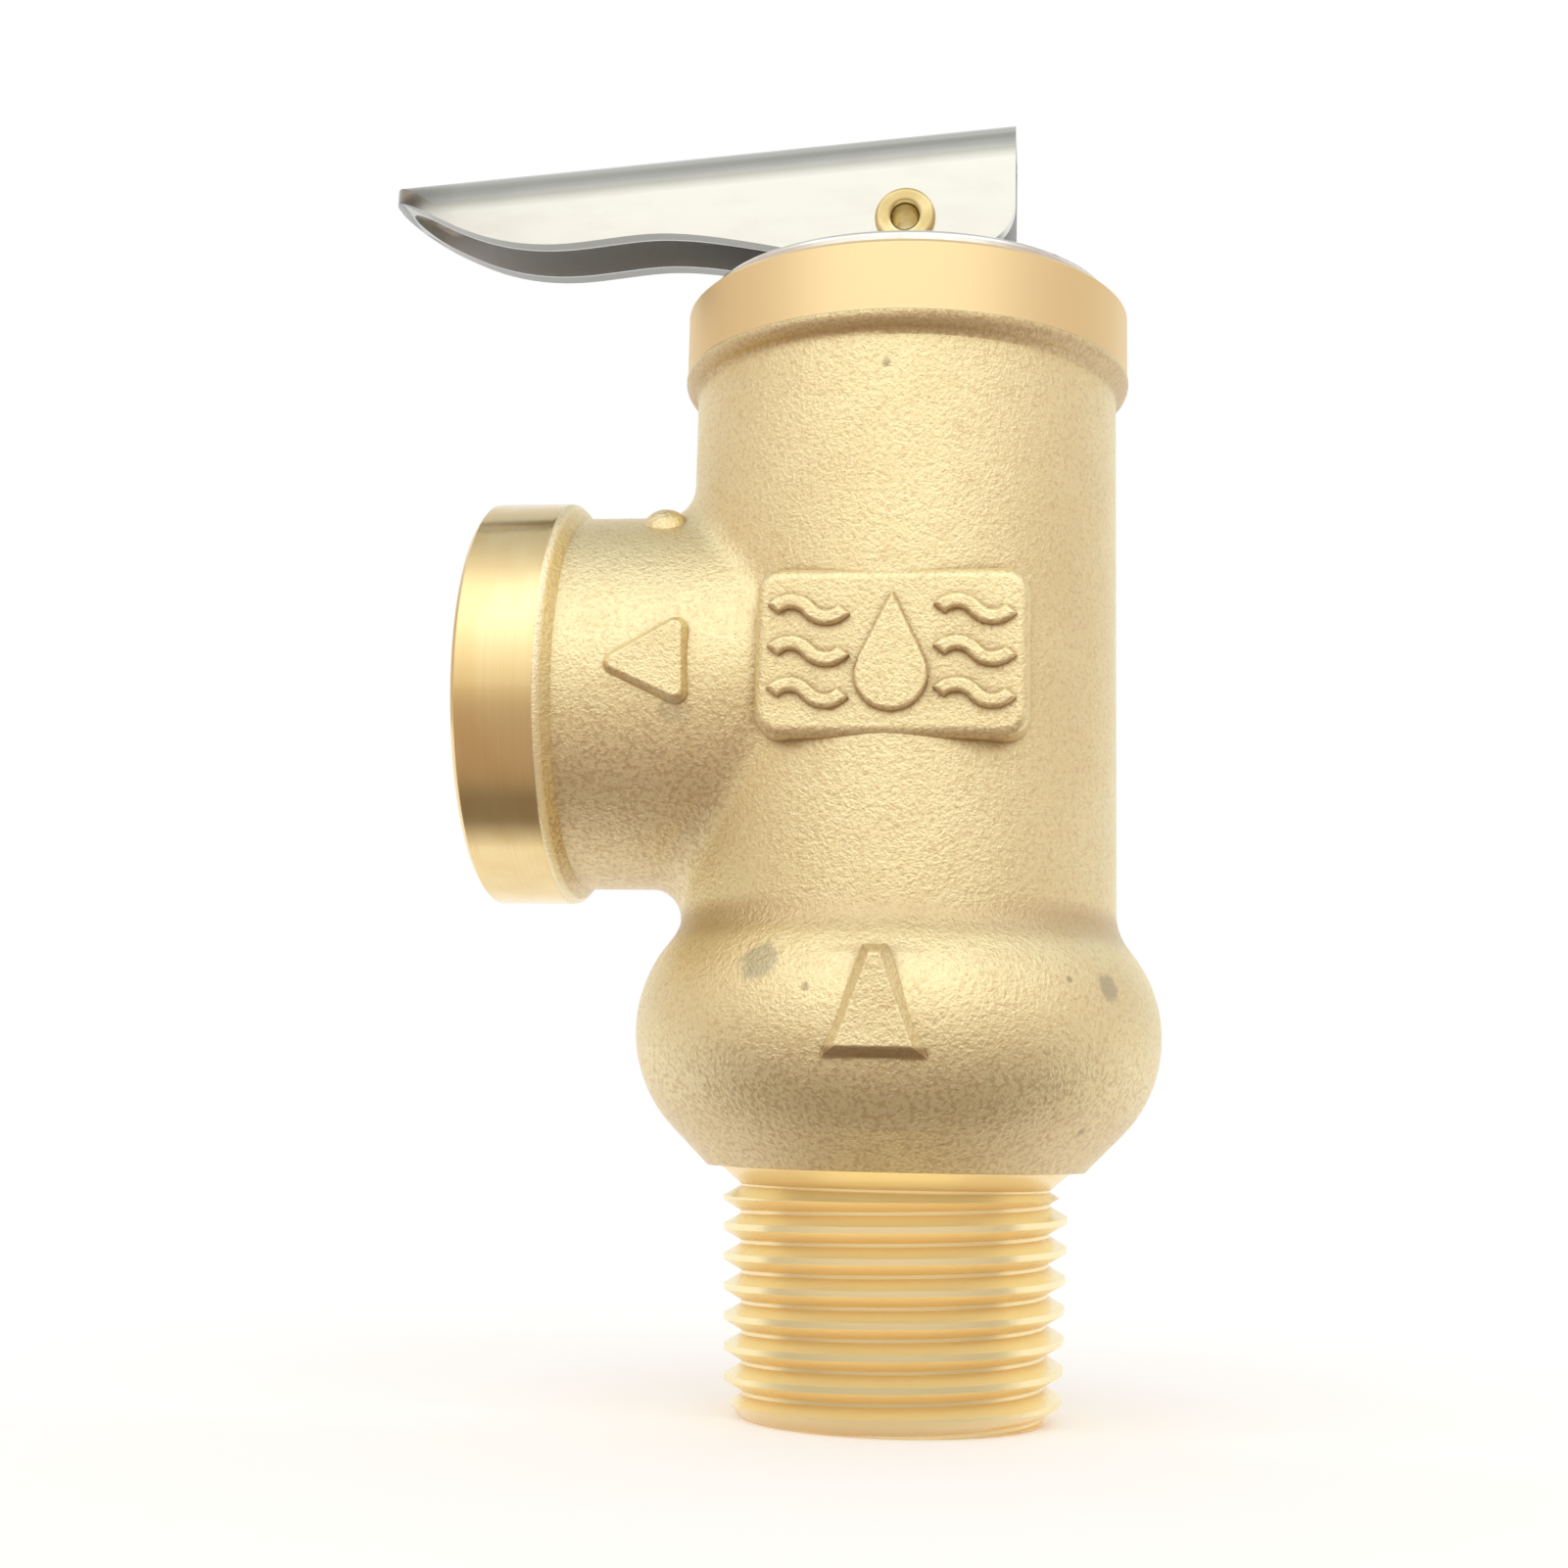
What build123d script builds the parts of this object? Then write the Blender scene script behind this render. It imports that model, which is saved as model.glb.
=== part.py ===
from build123d import *
import math
import os

# Side-outlet pressure relief valve for a 1/2 inch pipe, with a hand test lever.
# Frame: millimetres, +Z up along the valve's axis, origin at the centre of the
# inlet's bottom face. The outlet points along -X and the cast nameplate faces -Y.

os.makedirs("parts", exist_ok=True)

# ---------------------------------------------------------------- driving sizes
# Taper pipe thread, 1/2-14 NPT
PITCH = 25.4 / 14
TAPER = 1 / 32  # radius gained per mm of length
TAPER_ANGLE = math.degrees(math.atan(TAPER))
CREST_R = 10.36  # male crest at the bottom face
THREAD_DEPTH = 1.08
THREAD_TOP = 13.3
THREAD_ROOT_FLAT = 0.2
RELIEF_TOP = 14.05  # the thread runs out into a relief that flares from here to the bulb
OUTLET_CREST_R = 9.15  # female thread, measured on its crests
OUTLET_THREAD_LENGTH = 14.0

# Body casting
BULB_CENTRE_R = 7.95
BULB_ROUND_R = 8.6
BULB_Z = 23.5
BULB_FOOT_R = 11.8
BULB_FOOT_Z = 15.15
BULB_FILLET_R = 3.5
BARREL_R = 13.78
BARREL_TOP = 64.88
COLLAR_CAST_R = 14.6
COLLAR_R = 14.53
COLLAR_Z = 66.18
BODY_TOP = 70.7
OUTLET_Z = 44.87
OUTLET_FACE = 26.5  # distance of the outlet face from the valve's axis
NECK_R = 12.2
OUTLET_COLLAR_R = 13.18
OUTLET_COLLAR_LENGTH = 5.0
NECK_FILLET_R = 2.2
WALL = 3.15

# Waterway
INLET_BORE_R = 6.5
INLET_CHAMFER = 0.8
THROAT_R = 6.2
THROAT_Z = 20.0  # the bore narrows to the seat's throat here
SEAT_Z = 24.0
NOZZLE_R = 8.5
CHAMBER_FLOOR_Z = 18.5
BARREL_BORE_R = 10.9
RING_THREAD_R = 11.4
RING_THREAD_Z = 57.6

# Moving stack
CLEARANCE = 0.1  # general room between loose pieces
FIT = 0.05  # radial running clearance
SLIP = 0.02  # between pieces that are pressed or screwed together
LIFT_CLEARANCE = 0.1  # between the lever's heel and the hub it pushes on
DISC_R = 8.6
DISC_THICKNESS = 3.0
HOLDER_R = 9.6
GUIDE_R = BARREL_BORE_R - 0.1
GUIDE_Z = 30.0
HOLDER_TOP = 33.5
STEM_R = 2.0
SPRING_WIRE_R = 1.1
SPRING_MEAN_R = 7.0
SPRING_BOTTOM = 35.5
SPRING_TOP = 57.0
SPRING_TURNS = 5.5
BOSS_R = 5.6
BOSS_LENGTH = 2.4

# Bonnet
BONNET_R = 13.5
BONNET_TOP = 71.7
HUB_R = 6.0
HUB_TOP = 74.6

# Lever and its hollow rivet
PIN_Z = 76.8
PIN_R = 1.5
PIN_BORE_R = 0.875
PIN_RIM_R = 2.0
PIN_RIM = 0.5
PIN_EDGE_R = 0.35
PIN_SQUEEZE = 0.01  # room left round the rivet in the lever's holes
EYE_R = 2.6
EYE_THICKNESS = 3.0
LEVER_WIDTH = 6.8
SHEET = 1.2
LEVER_BEND_R = 2.1
LEVER_TIP_X = -35.4
LEVER_TIP_TOP = 80.62
HEEL_X = 7.2
HEEL_TOP = 83.75
HEEL_ROUND_R = 3.0
HEEL_ROUND_X = HEEL_X - HEEL_ROUND_R
HEEL_Z = HUB_TOP + LIFT_CLEARANCE

# ------------------------------------------------------- valve body, outer form
# The bulb's round runs into the barrel through a concave fillet. The centre of that
# fillet lies one fillet radius off the barrel and both radii off the bulb's centre.
fillet_centre_r = BARREL_R + BULB_FILLET_R
both_radii = BULB_ROUND_R + BULB_FILLET_R
fillet_rise = math.sqrt(both_radii**2 - (fillet_centre_r - BULB_CENTRE_R) ** 2)
barrel_start_z = BULB_Z + fillet_rise
share = BULB_ROUND_R / both_radii
bulb_end = (
    BULB_CENTRE_R + share * (fillet_centre_r - BULB_CENTRE_R),
    BULB_Z + share * fillet_rise,
)
bulb_widest = (BULB_CENTRE_R + BULB_ROUND_R, BULB_Z)
BULB_FOOT_ANGLE = math.radians(45)
bulb_start = (
    BULB_CENTRE_R + BULB_ROUND_R * math.cos(BULB_FOOT_ANGLE),
    BULB_Z - BULB_ROUND_R * math.sin(BULB_FOOT_ANGLE),
)
# The barrel steps out to the collar through two arcs of one angle.
STEP_HOLLOW_R = 0.45
STEP_ROUND_R = 0.9
step = COLLAR_CAST_R - BARREL_R
step_angle = math.degrees(math.acos(1 - step / (STEP_HOLLOW_R + STEP_ROUND_R)))

START_CHAMFER = 1.1
COLLAR_CHAMFER = 0.25
FLARE_OVER = 0.2  # how far the relief's flare ends outside the crests
flank = math.tan(math.radians(30))
top_crest_r = CREST_R + TAPER * THREAD_TOP
relief_r = top_crest_r - THREAD_DEPTH

with BuildPart() as body_form:
    with BuildSketch(Plane.XZ):
        with BuildLine():
            foot = Polyline(
                (0, 0),
                (CREST_R - THREAD_DEPTH + TAPER * START_CHAMFER, 0),
                (CREST_R + TAPER * START_CHAMFER, START_CHAMFER),
                (top_crest_r, THREAD_TOP),
                (relief_r, THREAD_TOP + THREAD_DEPTH * flank),
                (relief_r, RELIEF_TOP),
                (top_crest_r + FLARE_OVER, BULB_FOOT_Z),
                (BULB_FOOT_R, BULB_FOOT_Z),
                bulb_start,
            )
            bulb = ThreePointArc(bulb_start, bulb_widest, bulb_end)
            hollow = TangentArc(bulb @ 1, (BARREL_R, barrel_start_z), tangent=bulb % 1)
            barrel = Line(hollow @ 1, (BARREL_R, BARREL_TOP))
            out = JernArc(barrel @ 1, barrel % 1, STEP_HOLLOW_R, -step_angle)
            back = JernArc(out @ 1, out % 1, STEP_ROUND_R, step_angle)
            Polyline(
                back @ 1,
                (COLLAR_CAST_R, COLLAR_Z),
                (COLLAR_R, COLLAR_Z),
                (COLLAR_R, BODY_TOP - COLLAR_CHAMFER),
                (COLLAR_R - COLLAR_CHAMFER, BODY_TOP),
                (0, BODY_TOP),
                (0, 0),
            )
        make_face()
    revolve(axis=Axis.Z)

# Outlet branch, drawn along its own axis and revolved about it
outlet_axis = Axis((0, 0, OUTLET_Z), (-1, 0, 0))
collar_back = OUTLET_FACE - OUTLET_COLLAR_LENGTH
NECK_SHOULDER = 1.0
BACK_SLOPE = 0.2  # how far the collar's back face leans over
COLLAR_EDGE_R = 0.6
with BuildPart() as branch_form:
    with BuildSketch(Plane.XZ) as branch_section:
        with BuildLine():
            Polyline(
                (0, OUTLET_Z),
                (0, OUTLET_Z + NECK_R),
                (-collar_back + NECK_SHOULDER, OUTLET_Z + NECK_R),
                (-collar_back + BACK_SLOPE, OUTLET_Z + OUTLET_COLLAR_R),
                (-OUTLET_FACE + COLLAR_CHAMFER, OUTLET_Z + OUTLET_COLLAR_R),
                (-OUTLET_FACE, OUTLET_Z + OUTLET_COLLAR_R - COLLAR_CHAMFER),
                (-OUTLET_FACE, OUTLET_Z),
                close=True,
            )
        make_face()
        back_edge = (-collar_back + BACK_SLOPE, OUTLET_Z + OUTLET_COLLAR_R)
        fillet(branch_section.vertices().sort_by_distance(back_edge)[0], COLLAR_EDGE_R)
    revolve(axis=outlet_axis)

# ---------------------------------------------- raised marks cast on the outside
# Nameplate pad
PAD_WIDTH = 16.2
PAD_HEIGHT = 10.2
PAD_CENTRE_X = 0.3
PAD_CENTRE_Z = 45.3
PAD_FACE = 13.95  # distance of the pad's face from the valve's axis
PAD_ROOT = 10.4  # the pad's block starts inside the wall
PAD_CORNER_R = 1.5
PAD_EDGE_R = 0.7
with BuildPart() as pad:
    with BuildSketch(Plane.XZ.offset(PAD_ROOT)):
        with Locations((PAD_CENTRE_X, PAD_CENTRE_Z)):
            RectangleRounded(PAD_WIDTH, PAD_HEIGHT, PAD_CORNER_R)
    extrude(amount=PAD_FACE - PAD_ROOT)
    fillet(pad.faces().sort_by(Axis.Y)[0].edges(), PAD_EDGE_R)

# The pad's emblem is a plain water drop between two groups of waves.
DROP_R = 2.2
DROP_HEIGHT = 7.2
WAVE_LENGTH = 4.2
WAVE_WIDTH = 0.9
WAVE_RISE = 0.5
WAVE_GAP = 2.5
WAVE_REACH = 4.9  # from the drop's middle to the middle of a wave
EMBLEM_RISE = 0.5
EMBLEM_ROOT = 0.3  # how deep the emblem starts in the pad
EMBLEM_EDGE_R = 0.28
drop_tip = (PAD_CENTRE_X, PAD_CENTRE_Z + DROP_HEIGHT / 2)
drop_z = PAD_CENTRE_Z - DROP_HEIGHT / 2 + DROP_R
with BuildPart() as emblem:
    with BuildSketch(Plane.XZ.offset(PAD_FACE - EMBLEM_ROOT)):
        with Locations((PAD_CENTRE_X, drop_z)):
            Circle(DROP_R)
        reach = drop_tip[1] - drop_z
        lean = math.acos(DROP_R / reach)
        with BuildLine():
            Polyline(
                (PAD_CENTRE_X - DROP_R * math.sin(lean), drop_z + DROP_R * math.cos(lean)),
                drop_tip,
                (PAD_CENTRE_X + DROP_R * math.sin(lean), drop_z + DROP_R * math.cos(lean)),
                (PAD_CENTRE_X, drop_z),
                close=True,
            )
        make_face()
    extrude(amount=EMBLEM_RISE + EMBLEM_ROOT)
    for side in (-1, 1):
        for row in (-1, 0, 1):
            start = PAD_CENTRE_X + side * WAVE_REACH - WAVE_LENGTH / 2
            height = PAD_CENTRE_Z + row * WAVE_GAP
            quarter = WAVE_LENGTH / 4
            with BuildSketch(Plane.XZ.offset(PAD_FACE - EMBLEM_ROOT)):
                with BuildLine() as wave:
                    first = ThreePointArc(
                        (start, height),
                        (start + quarter, height + WAVE_RISE),
                        (start + 2 * quarter, height),
                    )
                    ThreePointArc(
                        first @ 1,
                        (start + 3 * quarter, height - WAVE_RISE),
                        (start + 4 * quarter, height),
                    )
                trace(wave.line, line_width=WAVE_WIDTH)
            extrude(amount=EMBLEM_RISE + EMBLEM_ROOT)
    fillet(emblem.faces().group_by(Axis.Y)[0].edges(), EMBLEM_EDGE_R)

# Flow arrows, one up the bulb and one along the outlet neck. Each stands on a straight
# root inside the wall, and its raised part has drafted sides and soft edges.
ARROW_ROOT = 1.8
ARROW_EDGE_R = 0.2
BULB_ARROW_FOOT = 16.3
BULB_ARROW_RISE = 0.75
with BuildPart() as bulb_arrow:
    with BuildSketch(Plane.XZ.offset(BULB_ARROW_FOOT)) as bulb_outline:
        with BuildLine():
            Polyline((-3.2, 21.5), (-0.9, 27.9), (0.5, 27.9), (2.85, 21.5), close=True)
        make_face()
    extrude(amount=BULB_ARROW_RISE, taper=38)
    fillet(bulb_arrow.faces().sort_by(Axis.Y)[0].edges(), ARROW_EDGE_R)
    extrude(bulb_outline.sketch, amount=-ARROW_ROOT)

NECK_ARROW_FOOT = 12.15
NECK_ARROW_RISE = 0.6
NECK_ARROW_CORNER_R = 0.75
with BuildPart() as neck_arrow:
    with BuildSketch(Plane.XZ.offset(NECK_ARROW_FOOT)) as neck_outline:
        with BuildLine():
            Polyline((-18.2, 44.95), (-12.2, 48.4), (-12.0, 42.1), close=True)
        make_face()
        fillet(neck_outline.vertices(), NECK_ARROW_CORNER_R)
    extrude(amount=NECK_ARROW_RISE, taper=30)
    fillet(neck_arrow.faces().sort_by(Axis.Y)[0].edges(), ARROW_EDGE_R)
    extrude(neck_outline.sketch, amount=-ARROW_ROOT)

# Small lip left by the mould where the neck runs into the barrel
LIP_R = 1.7
LIP_PLACE = (-14.9, -5.3, 54.85)
with BuildPart() as mould_lip:
    with Locations(LIP_PLACE):
        Sphere(LIP_R)

# ------------------------------------------------------------- valve body, hollow
CHAMBER_ROUND_R = BULB_ROUND_R - WALL
SEAT_LAND = 1.2
GASKET_BORE_R = 12.6
GASKET_DEPTH = 1.2
floor_r = BULB_CENTRE_R + math.sqrt(
    CHAMBER_ROUND_R**2 - (BULB_Z - CHAMBER_FLOOR_Z) ** 2
)
roof_z = BULB_Z + math.sqrt(CHAMBER_ROUND_R**2 - (BARREL_BORE_R - BULB_CENTRE_R) ** 2)
with BuildPart() as body_hollow:
    with BuildSketch(Plane.XZ):
        with BuildLine():
            Polyline(
                (0, SEAT_Z),
                (THROAT_R + SEAT_LAND, SEAT_Z),
                (NOZZLE_R, SEAT_Z - (NOZZLE_R - THROAT_R - SEAT_LAND)),
                (NOZZLE_R, CHAMBER_FLOOR_Z),
                (floor_r, CHAMBER_FLOOR_Z),
            )
            ThreePointArc(
                (floor_r, CHAMBER_FLOOR_Z),
                (BULB_CENTRE_R + CHAMBER_ROUND_R, BULB_Z),
                (BARREL_BORE_R, roof_z),
            )
            Polyline(
                (BARREL_BORE_R, roof_z),
                (BARREL_BORE_R, RING_THREAD_Z - 0.5),
                (RING_THREAD_R, RING_THREAD_Z),
                (RING_THREAD_R, BODY_TOP - GASKET_DEPTH),
                (GASKET_BORE_R, BODY_TOP - GASKET_DEPTH),
                (GASKET_BORE_R, BODY_TOP),
                (0, BODY_TOP),
                (0, SEAT_Z),
            )
        make_face()
    revolve(axis=Axis.Z)
    with BuildSketch(Plane.XZ):
        with BuildLine():
            Polyline(
                (0, 0),
                (INLET_BORE_R + INLET_CHAMFER, 0),
                (INLET_BORE_R, INLET_CHAMFER),
                (INLET_BORE_R, THROAT_Z),
                (THROAT_R, THROAT_Z + INLET_BORE_R - THROAT_R),
                (THROAT_R, SEAT_Z),
                (0, SEAT_Z),
                close=True,
            )
        make_face()
    revolve(axis=Axis.Z)

# Outlet passage with the grooves of its female thread
OUTLET_MOUTH_CHAMFER = 1.0
OUTLET_PASSAGE_R = 8.6
GROOVE_DEPTH = 0.85
GROOVE_COUNT = 6
passage_start = OUTLET_FACE - OUTLET_THREAD_LENGTH - OUTLET_MOUTH_CHAMFER
with BuildPart() as outlet_hollow:
    with BuildSketch(Plane.XZ):
        with BuildLine():
            Polyline(
                (-4, OUTLET_Z),
                (-4, OUTLET_Z + OUTLET_PASSAGE_R),
                (-passage_start, OUTLET_Z + OUTLET_PASSAGE_R),
                (-passage_start, OUTLET_Z + OUTLET_CREST_R),
                (-OUTLET_FACE + OUTLET_MOUTH_CHAMFER, OUTLET_Z + OUTLET_CREST_R),
                (-OUTLET_FACE, OUTLET_Z + OUTLET_CREST_R + OUTLET_MOUTH_CHAMFER),
                (-OUTLET_FACE, OUTLET_Z),
                close=True,
            )
        make_face()
        for turn in range(GROOVE_COUNT):
            middle = -OUTLET_FACE + OUTLET_MOUTH_CHAMFER + (turn + 0.75) * PITCH
            half = GROOVE_DEPTH * flank
            with BuildLine():
                Polyline(
                    (middle - half - 0.1, OUTLET_Z + OUTLET_CREST_R),
                    (middle, OUTLET_Z + OUTLET_CREST_R + GROOVE_DEPTH),
                    (middle + half + 0.1, OUTLET_Z + OUTLET_CREST_R),
                    (middle, OUTLET_Z),
                    close=True,
                )
            make_face()
    revolve(axis=outlet_axis)

# The male thread's groove is a V swept along a right-hand conical helix, one turn at a
# time. It starts below the bottom face and ends in the relief under the bulb.
GROOVE_START_Z = -1.75 * PITCH
GROOVE_TURNS = 9.5
GROOVE_OVER = 0.25  # how far the cutter stands clear of the crests
groove_half = THREAD_ROOT_FLAT / 2 + (THREAD_DEPTH + GROOVE_OVER) * flank
groove_turns = []
for turn in range(math.ceil(GROOVE_TURNS)):
    turn_z = GROOVE_START_Z + turn * PITCH
    turn_r = CREST_R + TAPER * turn_z
    with BuildPart() as groove_turn:
        with BuildLine() as turn_path:
            Helix(
                pitch=PITCH,
                height=PITCH * min(GROOVE_TURNS - turn, 1),
                radius=turn_r,
                center=(0, 0, turn_z),
                cone_angle=TAPER_ANGLE,
            )
        with BuildSketch(Plane(origin=(turn_r, 0, turn_z), x_dir=(1, 0, 0), z_dir=(0, 1, 0))):
            with BuildLine():
                Polyline(
                    (GROOVE_OVER, -groove_half),
                    (-THREAD_DEPTH, -THREAD_ROOT_FLAT / 2),
                    (-THREAD_DEPTH, THREAD_ROOT_FLAT / 2),
                    (GROOVE_OVER, groove_half),
                    close=True,
                )
            make_face()
        sweep(path=turn_path.line, is_frenet=True)
    groove_turns.append(groove_turn.part)

# ---------------------------------------------------------------- valve body
with BuildPart() as valve_body:
    add(body_form.part)
    add(branch_form.part)
    junction = valve_body.edges().filter_by(GeomType.BSPLINE)
    fillet(junction, NECK_FILLET_R)
    add(pad.part)
    add(emblem.part)
    add(bulb_arrow.part)
    add(neck_arrow.part)
    add(mould_lip.part)
    add(body_hollow.part, mode=Mode.SUBTRACT)
    add(outlet_hollow.part, mode=Mode.SUBTRACT)
    for groove in groove_turns:
        add(groove, mode=Mode.SUBTRACT)
valve_body.part.label = "valve_body"
export_step(valve_body.part, "parts/valve_body.step")

# ---------------------------------------------------------------- seat disc stack
# Rubber seat washer, face down on the nozzle's rim
SCREW_R = 1.5
with BuildPart() as seat_washer:
    with BuildSketch(Plane.XY.offset(SEAT_Z)):
        Circle(DISC_R)
        Circle(SCREW_R + CLEARANCE, mode=Mode.SUBTRACT)
    extrude(amount=DISC_THICKNESS)
seat_washer.part.label = "seat_washer"
export_step(seat_washer.part, "parts/seat_washer.step")

# Clamp plate under the seat washer, inside the nozzle
CLAMP_R = 5.0
CLAMP_THICKNESS = 1.2
CLAMP_EDGE_R = 0.4
with BuildPart() as washer_plate:
    with BuildSketch(Plane.XY.offset(SEAT_Z - CLAMP_THICKNESS)):
        Circle(CLAMP_R)
        Circle(SCREW_R + CLEARANCE, mode=Mode.SUBTRACT)
    extrude(amount=CLAMP_THICKNESS)
    lower_rims = washer_plate.faces().sort_by(Axis.Z)[0].edges()
    fillet(lower_rims.sort_by(SortBy.LENGTH)[-1], CLAMP_EDGE_R)
washer_plate.part.label = "washer_plate"
export_step(washer_plate.part, "parts/washer_plate.step")

# Hex screw that holds the seat washer in the disc holder
SCREW_HEAD_Z = SEAT_Z - CLAMP_THICKNESS
SCREW_HEAD_HEIGHT = 1.8
SCREW_HEX_R = 3.0
SCREW_END = 29.8
SCREW_CHAMFER = 0.3
with BuildPart() as retaining_screw:
    with BuildSketch(Plane.XY.offset(SCREW_HEAD_Z - SCREW_HEAD_HEIGHT)):
        RegularPolygon(SCREW_HEX_R, 6)
    extrude(amount=SCREW_HEAD_HEIGHT)
    with BuildSketch(Plane.XY.offset(SCREW_HEAD_Z)):
        Circle(SCREW_R - SLIP)
    extrude(amount=SCREW_END - SCREW_HEAD_Z)
    chamfer(retaining_screw.faces().sort_by(Axis.Z)[-1].edges(), SCREW_CHAMFER)
retaining_screw.part.label = "retaining_screw"
export_step(retaining_screw.part, "parts/retaining_screw.step")

# Disc holder: a cup for the seat washer under a notched guide flange
CUP_RIM_Z = 24.6
DISC_TOP = SEAT_Z + DISC_THICKNESS
CUP_R = DISC_R + FIT
SOCKET_FLOOR = 31.0
SOCKET_R = 3.4
CLIP_GROOVE_R = 4.2
CLIP_Z = 32.6
CLIP_THICKNESS = 0.5
NOTCH_R = 2.2
NOTCH_COUNT = 6
NOTCH_OUT = 0.6  # how far the notches are centred outside the guide flange
NOTCH_BOTTOM = GUIDE_Z - 1.5
SCREW_HOLE_TOP = SCREW_END + 0.3
with BuildPart() as disc_holder:
    with BuildSketch(Plane.XZ):
        with BuildLine():
            Polyline(
                (0, DISC_TOP),
                (CUP_R, DISC_TOP),
                (CUP_R, CUP_RIM_Z),
                (HOLDER_R, CUP_RIM_Z),
                (HOLDER_R, GUIDE_Z - 1.0),
                (GUIDE_R, GUIDE_Z + 0.2),
                (GUIDE_R, HOLDER_TOP),
                (SOCKET_R, HOLDER_TOP),
                (SOCKET_R, CLIP_Z + CLIP_THICKNESS),
                (CLIP_GROOVE_R, CLIP_Z + CLIP_THICKNESS),
                (CLIP_GROOVE_R, CLIP_Z),
                (SOCKET_R, CLIP_Z),
                (SOCKET_R, SOCKET_FLOOR),
                (0, SOCKET_FLOOR),
                close=True,
            )
        make_face()
    revolve(axis=Axis.Z)
    with BuildSketch(Plane.XY.offset(NOTCH_BOTTOM)):
        with PolarLocations(GUIDE_R + NOTCH_OUT, NOTCH_COUNT):
            Circle(NOTCH_R)
    extrude(amount=HOLDER_TOP - NOTCH_BOTTOM, mode=Mode.SUBTRACT)
    with BuildSketch(Plane.XY.offset(DISC_TOP)):
        Circle(SCREW_R)
    extrude(amount=SCREW_HOLE_TOP - DISC_TOP, mode=Mode.SUBTRACT)
disc_holder.part.label = "disc_holder"
export_step(disc_holder.part, "parts/disc_holder.step")

# Snap ring over the stem's collar, open on one side
CLIP_R = CLIP_GROOVE_R - CLEARANCE
CLIP_INNER_R = 2.3
CLIP_GAP = 1.6
with BuildPart() as stem_clip:
    with BuildSketch(Plane.XY.offset(CLIP_Z)):
        Circle(CLIP_R)
        Circle(CLIP_INNER_R, mode=Mode.SUBTRACT)
        with Locations((CLIP_R, 0)):
            Rectangle(2 * CLIP_R, CLIP_GAP, mode=Mode.SUBTRACT)
    extrude(amount=CLIP_THICKNESS - FIT)
stem_clip.part.label = "stem_clip"
export_step(stem_clip.part, "parts/stem_clip.step")

# Lower spring plate on the disc holder, upper spring plate under the adjusting ring
PLATE_THICKNESS = 2.0
LOWER_PLATE_R = 8.8
BOSS_CHAMFER = 0.6
with BuildPart() as lower_spring_plate:
    with BuildSketch(Plane.XY.offset(HOLDER_TOP)):
        Circle(LOWER_PLATE_R)
    extrude(amount=PLATE_THICKNESS)
    with BuildSketch(Plane.XY.offset(SPRING_BOTTOM)):
        Circle(BOSS_R)
    extrude(amount=BOSS_LENGTH)
    chamfer(lower_spring_plate.faces().sort_by(Axis.Z)[-1].edges(), BOSS_CHAMFER)
    with BuildSketch(Plane.XY.offset(HOLDER_TOP)):
        Circle(STEM_R + CLEARANCE)
    extrude(amount=PLATE_THICKNESS + BOSS_LENGTH, mode=Mode.SUBTRACT)
lower_spring_plate.part.label = "lower_spring_plate"
export_step(lower_spring_plate.part, "parts/lower_spring_plate.step")

UPPER_PLATE_THICKNESS = 1.4
UPPER_PLATE_R = 9.6
STEM_PASS_R = 2.6
with BuildPart() as upper_spring_plate:
    with BuildSketch(Plane.XY.offset(SPRING_TOP)):
        Circle(UPPER_PLATE_R)
    extrude(amount=UPPER_PLATE_THICKNESS)
    with BuildSketch(Plane.XY.offset(SPRING_TOP - BOSS_LENGTH)):
        Circle(BOSS_R)
    extrude(amount=BOSS_LENGTH)
    chamfer(upper_spring_plate.faces().sort_by(Axis.Z)[0].edges(), BOSS_CHAMFER)
    with BuildSketch(Plane.XY.offset(SPRING_TOP - BOSS_LENGTH)):
        Circle(STEM_PASS_R)
    extrude(amount=BOSS_LENGTH + UPPER_PLATE_THICKNESS, mode=Mode.SUBTRACT)
upper_spring_plate.part.label = "upper_spring_plate"
export_step(upper_spring_plate.part, "parts/upper_spring_plate.step")

# Relief spring with ends ground flat on the two plates
spring_length = SPRING_TOP - SPRING_BOTTOM
with BuildPart() as spring:
    with BuildLine() as spring_path:
        Helix(
            pitch=spring_length / SPRING_TURNS,
            height=spring_length,
            radius=SPRING_MEAN_R,
            center=(0, 0, SPRING_BOTTOM),
        )
    with BuildSketch(Plane(origin=spring_path.line @ 0, z_dir=spring_path.line % 0)):
        Circle(SPRING_WIRE_R)
    sweep(path=spring_path.line, is_frenet=True)
    split(bisect_by=Plane.XY.offset(SPRING_BOTTOM), keep=Keep.TOP)
    split(bisect_by=Plane.XY.offset(SPRING_TOP), keep=Keep.BOTTOM)
spring.part.label = "spring"
export_step(spring.part, "parts/spring.step")

# ---------------------------------------------------- pressure setting, top stack
WASHER_BOTTOM = SPRING_TOP + UPPER_PLATE_THICKNESS
WASHER_THICKNESS = 0.5
WASHER_R = 9.0
RING_BORE_R = 5.6
with BuildPart() as thrust_washer:
    with BuildSketch(Plane.XY.offset(WASHER_BOTTOM)):
        Circle(WASHER_R)
        Circle(RING_BORE_R, mode=Mode.SUBTRACT)
    extrude(amount=WASHER_THICKNESS)
thrust_washer.part.label = "thrust_washer"
export_step(thrust_washer.part, "parts/thrust_washer.step")

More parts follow.
